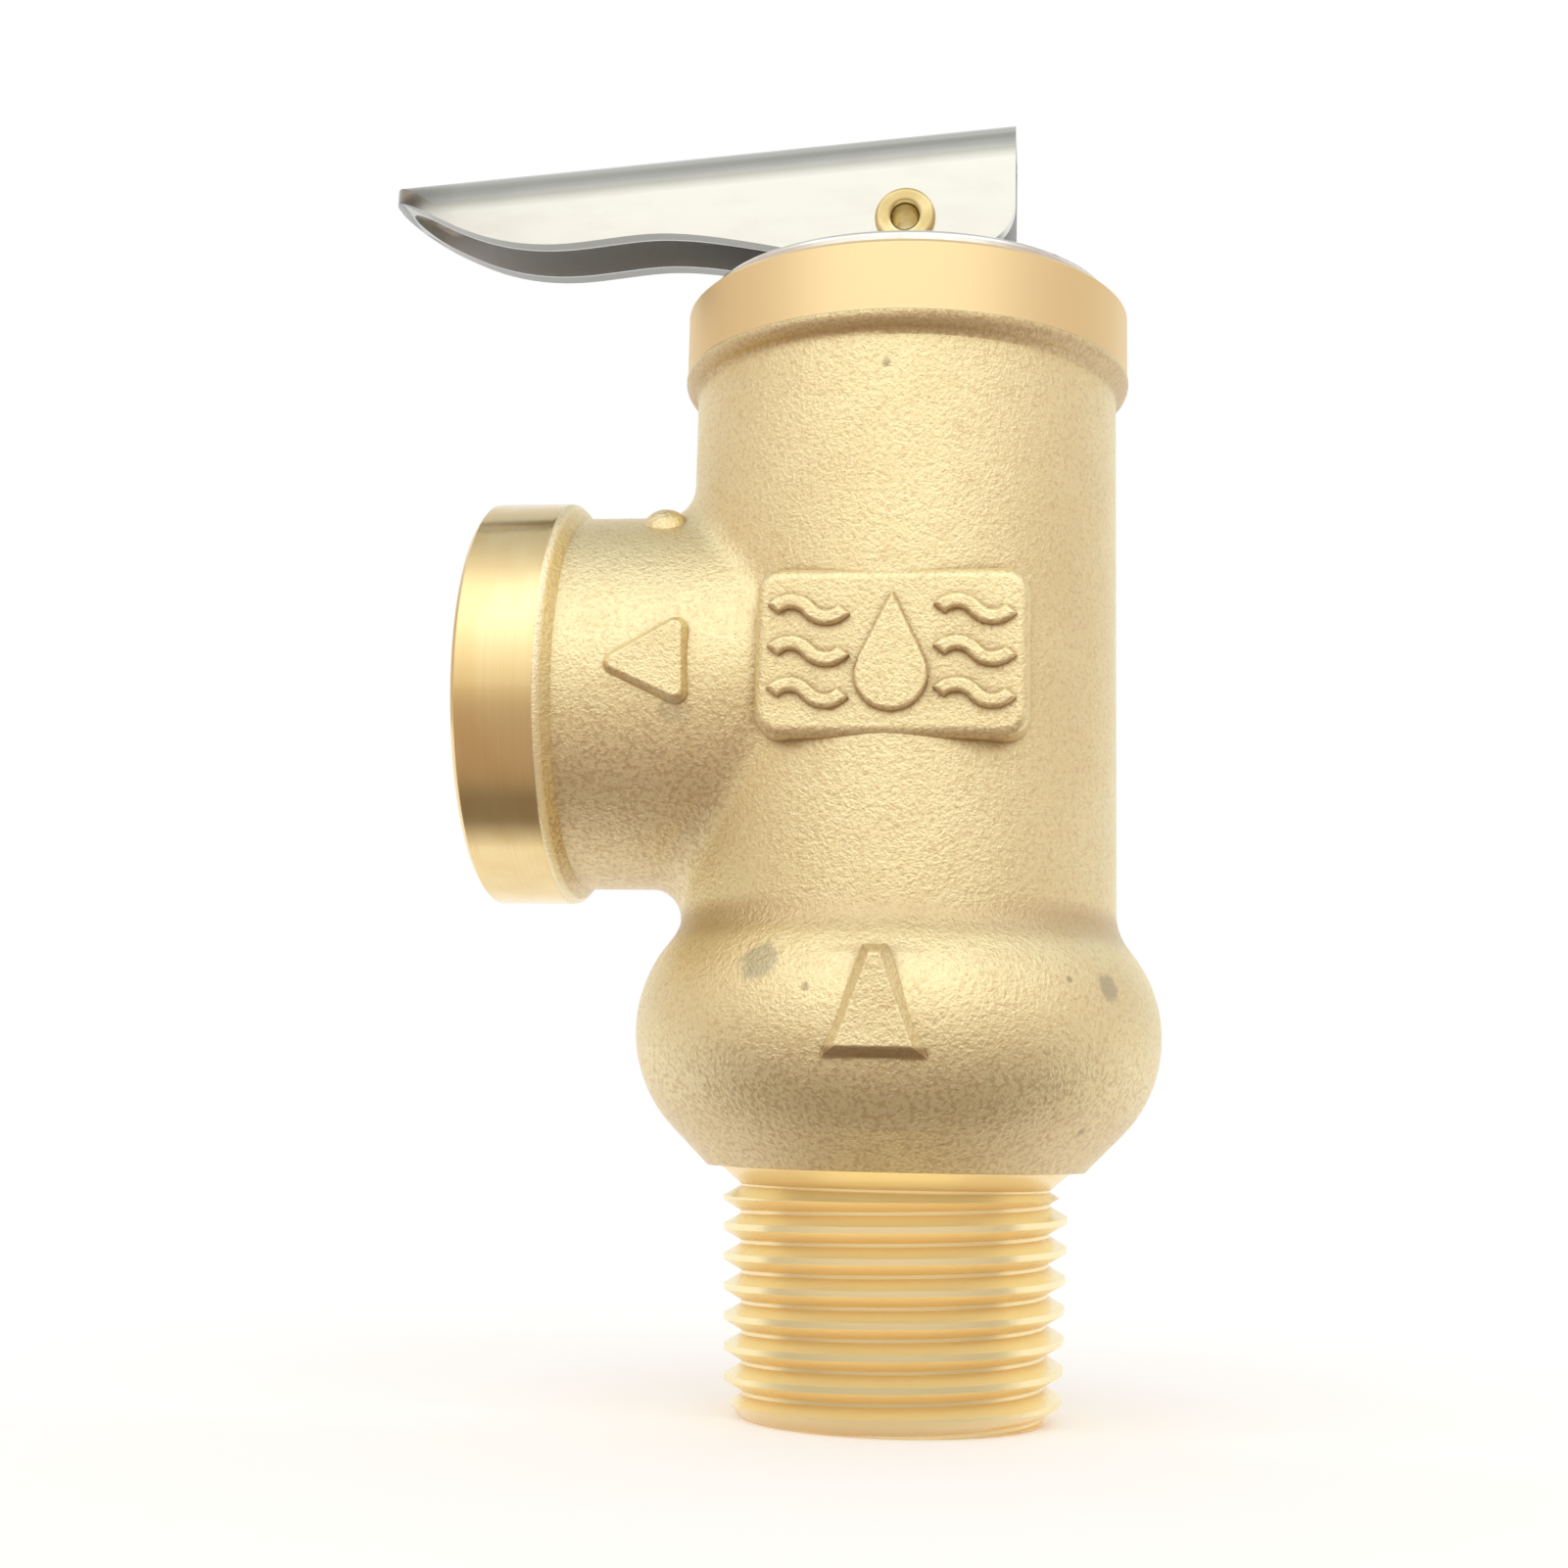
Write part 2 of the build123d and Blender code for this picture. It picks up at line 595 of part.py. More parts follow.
RING_R = RING_THREAD_R - FIT
ADJUSTING_BOTTOM = WASHER_BOTTOM + WASHER_THICKNESS
ADJUSTING_THICKNESS = 4.5
KEY_WIDTH = 2.4
KEY_DEPTH = 1.5
KEY_REACH_R = RING_BORE_R + 2.0
with BuildPart() as adjusting_ring:
    with BuildSketch(Plane.XY.offset(ADJUSTING_BOTTOM)):
        Circle(RING_R)
        Circle(RING_BORE_R, mode=Mode.SUBTRACT)
    extrude(amount=ADJUSTING_THICKNESS)
    with BuildSketch(Plane.XY.offset(ADJUSTING_BOTTOM + ADJUSTING_THICKNESS)):
        Rectangle(2 * KEY_REACH_R, KEY_WIDTH)
        Rectangle(KEY_WIDTH, 2 * KEY_REACH_R)
    extrude(amount=-KEY_DEPTH, mode=Mode.SUBTRACT)
adjusting_ring.part.label = "adjusting_ring"
export_step(adjusting_ring.part, "parts/adjusting_ring.step")

LOCK_BOTTOM = ADJUSTING_BOTTOM + ADJUSTING_THICKNESS + CLEARANCE
LOCK_THICKNESS = 2.0
LOCK_SLOT_LENGTH = 2 * RING_R - 3.0
LOCK_SLOT_DEPTH = 1.0
with BuildPart() as lock_ring:
    with BuildSketch(Plane.XY.offset(LOCK_BOTTOM)):
        Circle(RING_R)
        Circle(KEY_REACH_R, mode=Mode.SUBTRACT)
    extrude(amount=LOCK_THICKNESS)
    with BuildSketch(Plane.XY.offset(LOCK_BOTTOM + LOCK_THICKNESS)):
        Rectangle(LOCK_SLOT_LENGTH, KEY_WIDTH)
    extrude(amount=-LOCK_SLOT_DEPTH, mode=Mode.SUBTRACT)
lock_ring.part.label = "lock_ring"
export_step(lock_ring.part, "parts/lock_ring.step")

# ---------------------------------------------------------------- bonnet
SHANK_BOTTOM = 66.5
BUSH_R = 3.2
BUSH_BOTTOM = 67.5
BUSH_TOP = 72.2
GLAND_R = 3.65
GLAND_TOP = 73.9
SHANK_BORE_R = 8.0
SHANK_MOUTH_R = 8.6
HUB_FLARE = 1.0
HUB_GAP = 0.15  # round the stem
BONNET_EDGE_R = 0.4
HUB_EDGE_R = 0.25
with BuildPart() as bonnet_cap:
    with BuildSketch(Plane.XZ):
        with BuildLine():
            Polyline(
                (BUSH_R + SLIP, BUSH_BOTTOM),
                (SHANK_BORE_R, BUSH_BOTTOM),
                (SHANK_MOUTH_R, SHANK_BOTTOM),
                (RING_R, SHANK_BOTTOM),
                (RING_R, BODY_TOP),
                (BONNET_R, BODY_TOP),
                (BONNET_R, BONNET_TOP),
                (HUB_R + HUB_FLARE, BONNET_TOP),
                (HUB_R, BONNET_TOP + HUB_FLARE),
                (HUB_R, HUB_TOP),
                (STEM_R + HUB_GAP, HUB_TOP),
                (STEM_R + HUB_GAP, GLAND_TOP),
                (GLAND_R, GLAND_TOP),
                (GLAND_R, BUSH_TOP),
                (BUSH_R + SLIP, BUSH_TOP),
                close=True,
            )
        make_face()
    revolve(axis=Axis.Z)
    circles = bonnet_cap.edges().filter_by(GeomType.CIRCLE)
    flange_rims = circles.filter_by(lambda edge: abs(edge.radius - BONNET_R) < 0.01)
    hub_rims = circles.filter_by(lambda edge: abs(edge.radius - HUB_R) < 0.01)
    fillet(flange_rims.sort_by(Axis.Z)[-1], BONNET_EDGE_R)
    fillet(hub_rims.sort_by(Axis.Z)[-1], HUB_EDGE_R)
bonnet_cap.part.label = "bonnet_cap"
export_step(bonnet_cap.part, "parts/bonnet_cap.step")

# O-ring under the bonnet's flange
SEAL_SECTION_R = 0.57
with BuildPart() as bonnet_oring:
    with BuildSketch(Plane.XZ):
        with Locations(((RING_R + GASKET_BORE_R) / 2, BODY_TOP - GASKET_DEPTH / 2)):
            Circle(SEAL_SECTION_R)
    revolve(axis=Axis.Z)
bonnet_oring.part.label = "bonnet_oring"
export_step(bonnet_oring.part, "parts/bonnet_oring.step")

# Guide bush and stem seal in the bonnet's hub
with BuildPart() as guide_bush:
    with BuildSketch(Plane.XY.offset(BUSH_BOTTOM)):
        Circle(BUSH_R)
        Circle(STEM_R + FIT, mode=Mode.SUBTRACT)
    extrude(amount=BUSH_TOP - BUSH_BOTTOM)
guide_bush.part.label = "guide_bush"
export_step(guide_bush.part, "parts/guide_bush.step")

SEAL_GAP = 0.06
stem_seal_r = (GLAND_R - STEM_R) / 2 - SEAL_GAP
with BuildPart() as stem_oring:
    with BuildSketch(Plane.XZ):
        with Locations(((GLAND_R + STEM_R) / 2, (BUSH_TOP + GLAND_TOP) / 2)):
            Circle(stem_seal_r)
    revolve(axis=Axis.Z)
stem_oring.part.label = "stem_oring"
export_step(stem_oring.part, "parts/stem_oring.step")

# ---------------------------------------------------------------- stem
COLLAR_BOTTOM = SOCKET_FLOOR + CLEARANCE
STEM_COLLAR_R = SOCKET_R - 0.2
FLATS_BOTTOM = HUB_TOP - 0.3
with BuildPart() as stem:
    with BuildSketch(Plane.XY.offset(COLLAR_BOTTOM)):
        Circle(STEM_COLLAR_R)
    extrude(amount=CLIP_Z - COLLAR_BOTTOM)
    with BuildSketch(Plane.XY.offset(COLLAR_BOTTOM)):
        Circle(STEM_R)
    extrude(amount=PIN_Z - COLLAR_BOTTOM)
    with BuildSketch(Plane.XY.offset(FLATS_BOTTOM)):
        Rectangle(2 * STEM_R, 2 * STEM_R)
        Rectangle(2 * STEM_R, EYE_THICKNESS, mode=Mode.SUBTRACT)
    extrude(amount=PIN_Z - FLATS_BOTTOM, mode=Mode.SUBTRACT)
    with BuildSketch(Plane.XZ.offset(-EYE_THICKNESS / 2)):
        with Locations((0, PIN_Z)):
            Circle(EYE_R)
    extrude(amount=EYE_THICKNESS)
    with BuildSketch(Plane.XZ.offset(-EYE_THICKNESS)):
        with Locations((0, PIN_Z)):
            Circle(PIN_R + FIT)
    extrude(amount=2 * EYE_THICKNESS, mode=Mode.SUBTRACT)
stem.part.label = "stem"
export_step(stem.part, "parts/stem.step")

# ---------------------------------------------------------------- lever
# A pressed channel, open below and at the heel, with a round nose. Its side outline
# sweeps down to a finger hook, then to the flat foot that rests over the hub.
NOSE_X = LEVER_TIP_X + LEVER_WIDTH / 2
TIP_EDGE = 0.75
FOOT_X = -7.0
REACH = 60.0  # longer than the lever, for cutting shapes
inner_width = LEVER_WIDTH - 2 * SHEET
section_plane = Plane(
    origin=(LEVER_TIP_X, 0, LEVER_TIP_TOP),
    x_dir=(0, 1, 0),
    z_dir=(HEEL_X - LEVER_TIP_X, 0, HEEL_TOP - LEVER_TIP_TOP),
)

with BuildPart() as lever_hollow:
    with BuildSketch(section_plane) as inner_section:
        with Locations((0, -SHEET)):
            Rectangle(inner_width, REACH, align=(Align.CENTER, Align.MAX))
        fillet(inner_section.vertices().group_by(Axis.Y)[-1], LEVER_BEND_R - SHEET)
    extrude(amount=REACH)
    with BuildSketch(Plane.XY.offset(PIN_Z - REACH / 2)):
        with Locations((NOSE_X, 0)):
            Circle(inner_width / 2)
            Rectangle(REACH, inner_width, align=(Align.MIN, Align.CENTER))
    extrude(amount=REACH, mode=Mode.INTERSECT)

with BuildPart() as lever:
    with BuildSketch(Plane.XZ.offset(-LEVER_WIDTH / 2)):
        with BuildLine():
            hook = Spline(
                (LEVER_TIP_X, LEVER_TIP_TOP - TIP_EDGE),
                (-32.0, 77.95),
                (-28.5, 76.4),
                (-23.4, 75.65),
                (-16.7, 76.2),
                (-11.5, 75.65),
                (FOOT_X, HEEL_Z),
            )
            foot = Line(hook @ 1, (HEEL_ROUND_X, HEEL_Z))
            heel = TangentArc(
                foot @ 1, (HEEL_X, HEEL_Z + HEEL_ROUND_R), tangent=foot % 1
            )
            Polyline(heel @ 1, (HEEL_X, HEEL_TOP), (LEVER_TIP_X, LEVER_TIP_TOP), hook @ 0)
        make_face()
    extrude(amount=LEVER_WIDTH)
    with BuildSketch(section_plane) as outer_section:
        Rectangle(LEVER_WIDTH, REACH, align=(Align.CENTER, Align.MAX))
        fillet(outer_section.vertices().group_by(Axis.Y)[-1], LEVER_BEND_R)
    extrude(amount=REACH, mode=Mode.INTERSECT)
    with BuildSketch(Plane.XY.offset(PIN_Z - REACH / 2)):
        with Locations((NOSE_X, 0)):
            Circle(LEVER_WIDTH / 2)
            Rectangle(REACH, LEVER_WIDTH, align=(Align.MIN, Align.CENTER))
    extrude(amount=REACH, mode=Mode.INTERSECT)
    add(lever_hollow.part, mode=Mode.SUBTRACT)
    with BuildSketch(Plane.XZ.offset(-LEVER_WIDTH)):
        with Locations((0, PIN_Z)):
            Circle(PIN_R + PIN_SQUEEZE)
    extrude(amount=2 * LEVER_WIDTH, mode=Mode.SUBTRACT)
lever.part.label = "lever"
export_step(lever.part, "parts/lever.step")

# Hollow rivet through the lever's sides and the stem's eye, with a rolled rim each side
pin_axis = Axis((0, 0, PIN_Z), (0, 1, 0))
side = LEVER_WIDTH / 2
with BuildPart() as lever_pin:
    with BuildSketch(Plane.YZ):
        with BuildLine():
            Polyline(
                (-side - PIN_RIM, PIN_Z + PIN_BORE_R),
                (-side - PIN_RIM, PIN_Z + PIN_RIM_R),
                (-side, PIN_Z + PIN_RIM_R),
                (-side, PIN_Z + PIN_R),
                (side, PIN_Z + PIN_R),
                (side, PIN_Z + PIN_RIM_R),
                (side + PIN_RIM, PIN_Z + PIN_RIM_R),
                (side + PIN_RIM, PIN_Z + PIN_BORE_R),
                close=True,
            )
        make_face()
    revolve(axis=pin_axis)
    end_faces = lever_pin.faces().sort_by(Axis.Y)
    fillet(end_faces[0].edges() + end_faces[-1].edges(), PIN_EDGE_R)
lever_pin.part.label = "lever_pin"
export_step(lever_pin.part, "parts/lever_pin.step")

# Two washers that keep the stem's eye in the middle of the channel
WASHER_GAP = 0.02
PIN_WASHER_R = PIN_Z - HEEL_Z
with BuildPart() as pin_washers:
    for direction in (-1, 1):
        with BuildSketch(Plane.XZ.offset(direction * (EYE_THICKNESS / 2 + WASHER_GAP))):
            with Locations((0, PIN_Z)):
                Circle(PIN_WASHER_R)
                Circle(PIN_R + FIT, mode=Mode.SUBTRACT)
        extrude(amount=direction * (inner_width - EYE_THICKNESS - 4 * WASHER_GAP) / 2)
pin_washers.part.label = "pin_washers"
export_step(pin_washers.part, "parts/pin_washers.step")
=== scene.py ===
import math

import bpy
from mathutils import Matrix, Vector


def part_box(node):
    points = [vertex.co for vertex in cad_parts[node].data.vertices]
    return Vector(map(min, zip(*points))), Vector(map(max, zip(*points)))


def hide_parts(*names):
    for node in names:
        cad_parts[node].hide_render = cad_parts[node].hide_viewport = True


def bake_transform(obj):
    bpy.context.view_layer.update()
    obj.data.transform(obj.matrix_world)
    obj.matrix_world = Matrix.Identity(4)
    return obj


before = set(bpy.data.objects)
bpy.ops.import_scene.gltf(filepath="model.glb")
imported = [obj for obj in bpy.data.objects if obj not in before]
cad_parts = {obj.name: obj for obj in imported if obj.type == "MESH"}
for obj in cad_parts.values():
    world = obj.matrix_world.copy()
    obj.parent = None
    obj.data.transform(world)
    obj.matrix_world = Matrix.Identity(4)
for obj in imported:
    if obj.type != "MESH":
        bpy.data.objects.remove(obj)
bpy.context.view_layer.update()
MM = 0.001


# ------------------------------------------------------------------ node helpers
class Graph:
    """A node tree and short names for the nodes that the materials are made of."""

    def __init__(self, tree):
        self.tree = tree
        tree.nodes.clear()

    def put(self, socket, value):
        if isinstance(value, bpy.types.NodeSocket):
            self.tree.links.new(value, socket)
        elif value is not None:
            socket.default_value = value

    def node(self, kind, inputs=(), **settings):
        made = self.tree.nodes.new(kind)
        for key, value in settings.items():
            setattr(made, key, value)
        for key, value in dict(inputs).items():
            self.put(made.inputs[key], value)
        return made

    def math(self, operation, a, b=None):
        made = self.node("ShaderNodeMath", operation=operation)
        self.put(made.inputs[0], a)
        if b is not None:
            self.put(made.inputs[1], b)
        return made.outputs[0]

    def both(self, a, b):
        return self.math("MULTIPLY", a, b)

    def either(self, a, b):
        return self.math("MAXIMUM", a, b)

    def distance(self, a, b):
        """Length of the vector with the two components a and b."""
        squares = [self.math("POWER", part, 2.0) for part in (a, b)]
        return self.math("SQRT", self.math("ADD", *squares))

    def axes(self, vector):
        outputs = self.node("ShaderNodeSeparateXYZ", {"Vector": vector}).outputs
        return outputs["X"], outputs["Y"], outputs["Z"]

    def upward(self):
        """The surface normal's height: 1 faces up, -1 faces down."""
        return self.axes(self.node("ShaderNodeNewGeometry").outputs["Normal"])[2]

    def map_range(self, kind, *values):
        made = self.node("ShaderNodeMapRange", interpolation_type=kind)
        for socket, given in zip(made.inputs, values):
            self.put(socket, given)
        return made.outputs[0]

    def step(self, value, low, high, to_low=0.0, to_high=1.0):
        """Rises smoothly from to_low at low to to_high at high."""
        return self.map_range("SMOOTHSTEP", value, low, high, to_low, to_high)

    def straight(self, value, low, high):
        """Rises in a straight line from 0 at low to 1 at high."""
        return self.map_range("LINEAR", value, low, high, 0.0, 1.0)

    def window(self, value, low, high, soft):
        """1 between low and high, 0 outside, with edges of width soft."""
        rise = self.step(value, low - soft, low + soft)
        fall = self.step(value, high - soft, high + soft, 1.0, 0.0)
        return self.both(rise, fall)

    def mix(self, factor, a, b, blend="MIX"):
        made = self.node("ShaderNodeMix", data_type="RGBA", blend_type=blend)
        self.put(made.inputs["Factor"], factor)
        for key, value in (("A", a), ("B", b)):
            colour = [s for s in made.inputs if s.name == key and s.type == "RGBA"][0]
            if isinstance(value, tuple):
                value = (*value, 1.0)
            self.put(colour, value)
        return [s for s in made.outputs if s.type == "RGBA"][0]

    def lerp(self, factor, a, b):
        made = self.node("ShaderNodeMix", data_type="FLOAT")
        self.put(made.inputs["Factor"], factor)
        self.put(made.inputs["A"], a)
        self.put(made.inputs["B"], b)
        return made.outputs[0]

    def scaled(self, vector, x, y, z):
        made = self.node("ShaderNodeVectorMath", operation="MULTIPLY")
        self.put(made.inputs[0], vector)
        self.put(made.inputs[1], (x, y, z))
        return made.outputs[0]

    def noise(self, vector, scale, detail=3.0, rough=0.55):
        made = self.node(
            "ShaderNodeTexNoise",
            {"Vector": vector, "Scale": scale, "Detail": detail, "Roughness": rough},
        )
        return made.outputs[0]

    def away(self, vector, point):
        """Distance of each place from one point."""
        made = self.node("ShaderNodeVectorMath", operation="DISTANCE")
        self.put(made.inputs[0], vector)
        self.put(made.inputs[1], point)
        return made.outputs["Value"]

    def ramp(self, value, stops):
        made = self.node("ShaderNodeValToRGB", {"Fac": value})
        ramp = made.color_ramp
        while len(ramp.elements) < len(stops):
            ramp.elements.new(0.5)
        for element, (place, _) in zip(ramp.elements, stops):
            element.position = place
        for element, (_, colour) in zip(ramp.elements, stops):
            if not isinstance(colour, tuple):
                colour = (colour, colour, colour)
            element.color = (*colour, 1.0)
        return made.outputs["Color"]


def place_object(name, data):
    made = bpy.data.objects.new(name, data)
    bpy.context.scene.collection.objects.link(made)
    return made


def start_material(name):
    """A new material, its graph, and the place on the surface in millimetres."""
    material = bpy.data.materials.new(name)
    material.use_nodes = True
    graph = Graph(material.node_tree)
    place = graph.node("ShaderNodeTexCoord").outputs["Object"]
    return material, graph, graph.scaled(place, 1 / MM, 1 / MM, 1 / MM)


def end_material(graph, colour, rough, height=None, depth=0.0, metallic=1.0):
    """Metal unless metallic says otherwise, with a bump that is depth millimetres deep."""
    shader = graph.node("ShaderNodeBsdfPrincipled")
    shader.inputs["Metallic"].default_value = metallic
    graph.put(shader.inputs["Base Color"], colour)
    graph.put(shader.inputs["Roughness"], rough)
    if height is not None:
        bump = graph.node("ShaderNodeBump", {"Height": height})
        bump.inputs["Strength"].default_value = 1.0
        bump.inputs["Distance"].default_value = depth * MM
        graph.put(shader.inputs["Normal"], bump.outputs["Normal"])
    out = graph.node("ShaderNodeOutputMaterial")
    graph.tree.links.new(shader.outputs["BSDF"], out.inputs["Surface"])
    return shader


# ------------------------------------------------------------- brass of the body
# Places on the casting in millimetres, each with the mark's radius and its strength: two stains
# on the bulb, then a darker smudge below the outlet's arrow
BLOTCHES = [
    ((-7.05, -14.1, 27.07), 1.15, 0.62),
    ((13.09, -9.44, 26.1), 0.85, 0.62),
    ((-12.9, -11.96, 42.3), 0.80, 0.30),
]
SPECKS = [
    ((-0.26, -13.77, 63.09), 0.40),
    ((-4.16, -15.78, 25.48), 0.38),
    ((11.47, -8.47, 17.67), 0.45),
    ((10.74, -11.95, 26.35), 0.32),
    ((5.2, 14.9, 22.0), 0.40),
    ((-3.0, 13.6, 52.0), 0.35),
]


# Where the body's zones end, in millimetres
OUTLET_Z = 44.87
COLLAR_Z = 66.12
BAND_X = -21.35
THREAD_Z = 15.14
THREAD_RADIUS = 11.9
BARREL_BORE_RADIUS = 13.0
OUTLET_BORE_RADIUS = 10.4

CAST_DARK = (0.87, 0.75, 0.43)
CAST_LIGHT = (0.92, 0.81, 0.48)
CREASE_REACH = 1.1
BLOTCH_RAGGED = 0.8
BLOTCH_SOFT = 0.35


def cast_skin(g, place, x, y, z, radius, from_outlet, upward, open_air):
    """Colour, roughness and height of the sand casting."""
    # Sand grain over slow changes of tone
    grain = g.noise(place, 3.3, 4.0, 0.6)
    sand = g.noise(place, 6.5, 2.0, 0.5)
    mottle = g.noise(place, 0.55, 3.0, 0.6)
    cloud = g.noise(place, 0.09, 2.0, 0.5)
    cast = g.mix(g.step(cloud, 0.35, 0.68), CAST_DARK, CAST_LIGHT)
    cast = g.mix(g.step(mottle, 0.48, 0.80, 0.0, 0.35), cast, (0.82, 0.64, 0.35))
    cast = g.mix(g.step(grain, 0.47, 0.66, 0.0, 0.48), cast, (0.68, 0.50, 0.27))
    cast = g.mix(g.step(sand, 0.48, 0.30, 0.0, 0.40), cast, (1.0, 0.93, 0.68))

    # Tone painted where the photo shows shading that the light alone doesn't give: brown on
    # faces that look down, a paler band round the widest part, brown in the two recesses
    cast = g.mix(g.step(upward, -0.20, -0.75, 0.0, 0.42), cast, (0.66, 0.47, 0.27))
    patchy = g.both(g.step(grain, 0.44, 0.60), g.step(upward, 0.0, -0.45, 0.0, 0.36))
    cast = g.mix(patchy, cast, (0.50, 0.34, 0.18))
    widest = g.both(g.window(z, 20.5, 24.5, 2.5), g.step(radius, 17.0, 18.2, 0.0, 0.45))
    cast = g.mix(widest, cast, (1.0, 0.92, 0.62))
    outer = g.step(radius, 13.0, 13.6)
    hollow = g.both(g.window(z, 28.9, 30.9, 0.7), outer)
    under_collar = g.both(g.window(z, 64.9, 66.0, 0.3), outer)
    recess = g.either(g.both(hollow, 0.55), g.both(under_collar, 0.5))
    cast = g.mix(recess, cast, (0.52, 0.37, 0.20))

    # Painted shade in the creases round the raised marks, and a painted highlight on the
    # outlet's back edge
    cast = g.mix(g.step(open_air, 0.95, 0.50, 0.0, 0.85), cast, (0.45, 0.31, 0.16))
    rim = g.both(g.step(x, -20.9, -21.1), g.step(from_outlet, 12.75, 12.85))
    cast = g.mix(g.both(rim, 0.9), cast, (1.0, 0.90, 0.62))

    # Painted shade under the inlet's arrow and at its tip
    across = g.window(x, -3.1, 2.8, 0.25)
    in_front = g.both(across, g.step(y, -15.0, -15.6))
    under_arrow = g.both(in_front, g.window(z, 21.45, 22.1, 0.18))
    cast = g.mix(g.both(under_arrow, 0.90), cast, (0.34, 0.22, 0.11))
    arrow_tip = g.both(in_front, g.window(z, 27.5, 28.0, 0.2))
    cast = g.mix(g.both(arrow_tip, 0.45), cast, (0.48, 0.33, 0.18))

    # Stains, a darker smudge below the outlet's arrow, and small dark inclusions
    ragged = g.both(g.noise(place, 1.3, 3.0, 0.6), 2 * BLOTCH_RAGGED)
    for point, size, strength in BLOTCHES:
        reach = g.math("ADD", g.away(place, point), ragged)
        edge = size + BLOTCH_RAGGED
        blotch = g.step(reach, edge + BLOTCH_SOFT, edge - BLOTCH_SOFT, 0.0, strength)
        cast = g.mix(blotch, cast, (0.42, 0.38, 0.27))
    for point, size in SPECKS:
        speck = g.step(g.away(place, point), size, size * 0.3, 0.0, 0.65)
        cast = g.mix(speck, cast, (0.34, 0.26, 0.15))

    rough = g.step(mottle, 0.3, 0.7, 0.31, 0.38)
    return cast, rough, g.math("ADD", grain, g.both(sand, 0.45))


def turned_face(g, place, collar, thread, along_x, upward, open_air):
    """Colour, roughness and height of the machined faces: fine rings and soft streaks."""
    rings_z = g.noise(g.scaled(place, 0.02, 0.02, 9.0), 1.0, 3.0, 0.6)
    rings_x = g.noise(g.scaled(place, 9.0, 0.02, 0.02), 1.0, 3.0, 0.6)
    rings = g.lerp(along_x, rings_z, rings_x)
    streak = g.noise(g.scaled(place, 0.45, 0.45, 0.03), 1.0, 2.0, 0.5)
    turned = g.mix(g.step(streak, 0.35, 0.65), (0.86, 0.67, 0.34), (0.90, 0.73, 0.40))
    turned = g.mix(g.step(rings, 0.45, 0.75, 0.0, 0.25), turned, (0.78, 0.57, 0.27))
    turned = g.mix(collar, turned, (0.92, 0.74, 0.42))

    # The inlet thread: a painted highlight on the flanks that face up, painted shade in the
    # roots
    flank = g.mix(g.step(upward, 0.10, -0.30), (1.0, 0.90, 0.54), (1.0, 0.80, 0.44))
    turned = g.mix(thread, turned, flank)
    root = g.both(g.step(open_air, 0.62, 0.30, 0.0, 0.60), thread)
    turned = g.mix(root, turned, (0.90, 0.62, 0.30))

    rough = g.step(rings, 0.3, 0.7, 0.13, 0.18)
    rough = g.lerp(collar, rough, 0.45)
    rough = g.lerp(thread, rough, 0.26)
    return turned, rough, g.both(rings, 0.05)


def body_brass():
    """Sand-cast brass, turned on the collars, the threads and the passages."""
    material, g, place = start_material("body_brass")
    x, y, z = g.axes(place)
    radius = g.distance(x, y)
    from_outlet = g.distance(g.math("SUBTRACT", z, OUTLET_Z), y)
    upward = g.upward()
    shelter = g.node("ShaderNodeAmbientOcclusion", {"Distance": CREASE_REACH * MM}, samples=8)
    open_air = shelter.outputs["AO"]

    collar = g.step(z, COLLAR_Z, COLLAR_Z + 0.1)
    band = g.step(x, BAND_X, BAND_X - 0.15)
    thread = g.both(
        g.step(z, THREAD_Z, THREAD_Z - 0.04), g.step(radius, THREAD_RADIUS + 0.3, THREAD_RADIUS)
    )
    in_barrel = g.both(
        g.step(radius, BARREL_BORE_RADIUS + 0.2, BARREL_BORE_RADIUS), g.step(z, 17.0, 17.3)
    )
    in_outlet = g.both(
        g.step(from_outlet, OUTLET_BORE_RADIUS + 0.3, OUTLET_BORE_RADIUS),
        g.step(x, -10.0, -11.0),
    )
    machined = g.either(g.either(collar, band), thread)
    machined = g.either(machined, g.either(in_barrel, in_outlet))

    cast, cast_rough, cast_height = cast_skin(
        g, place, x, y, z, radius, from_outlet, upward, open_air
    )
    turned, turned_rough, turned_height = turned_face(
        g, place, collar, thread, g.either(band, in_outlet), upward, open_air
    )
    colour = g.mix(machined, cast, turned)
    rough = g.lerp(machined, cast_rough, turned_rough)
    height = g.lerp(machined, cast_height, turned_height)
    shader = end_material(g, colour, rough, height, depth=0.09)
    metallic = g.lerp(machined, 0.84, 1.0)
    g.put(shader.inputs["Metallic"], g.lerp(thread, metallic, 0.66))
    return material


def turned_metal(name, light, dark, rough):
    """Turned or rolled metal with fine rings about +Z and patchy tone."""
    material, g, place = start_material(name)
    lines = g.noise(g.scaled(place, 0.05, 0.05, 7.0), 1.0, 3.0, 0.6)
    patch = g.noise(place, 0.35, 3.0, 0.6)
    speck = g.noise(place, 3.0, 2.0, 0.5)
    colour = g.mix(g.step(patch, 0.35, 0.70), light, dark)
    colour = g.mix(g.step(speck, 0.60, 0.80, 0.0, 0.4), colour, dark)
    roughness = g.step(patch, 0.3, 0.7, rough, rough + 0.10)
    height = g.math("ADD", lines, g.both(speck, 0.3))
    end_material(g, colour, roughness, height, depth=0.006)
    return material


LEVER_SLOPE = 0.0735
LEVER_BEND_DEPTH = 3.2
LEVER_NOSE_LENGTH = 14.0
LEVER_INSIDE_Y = 2.30
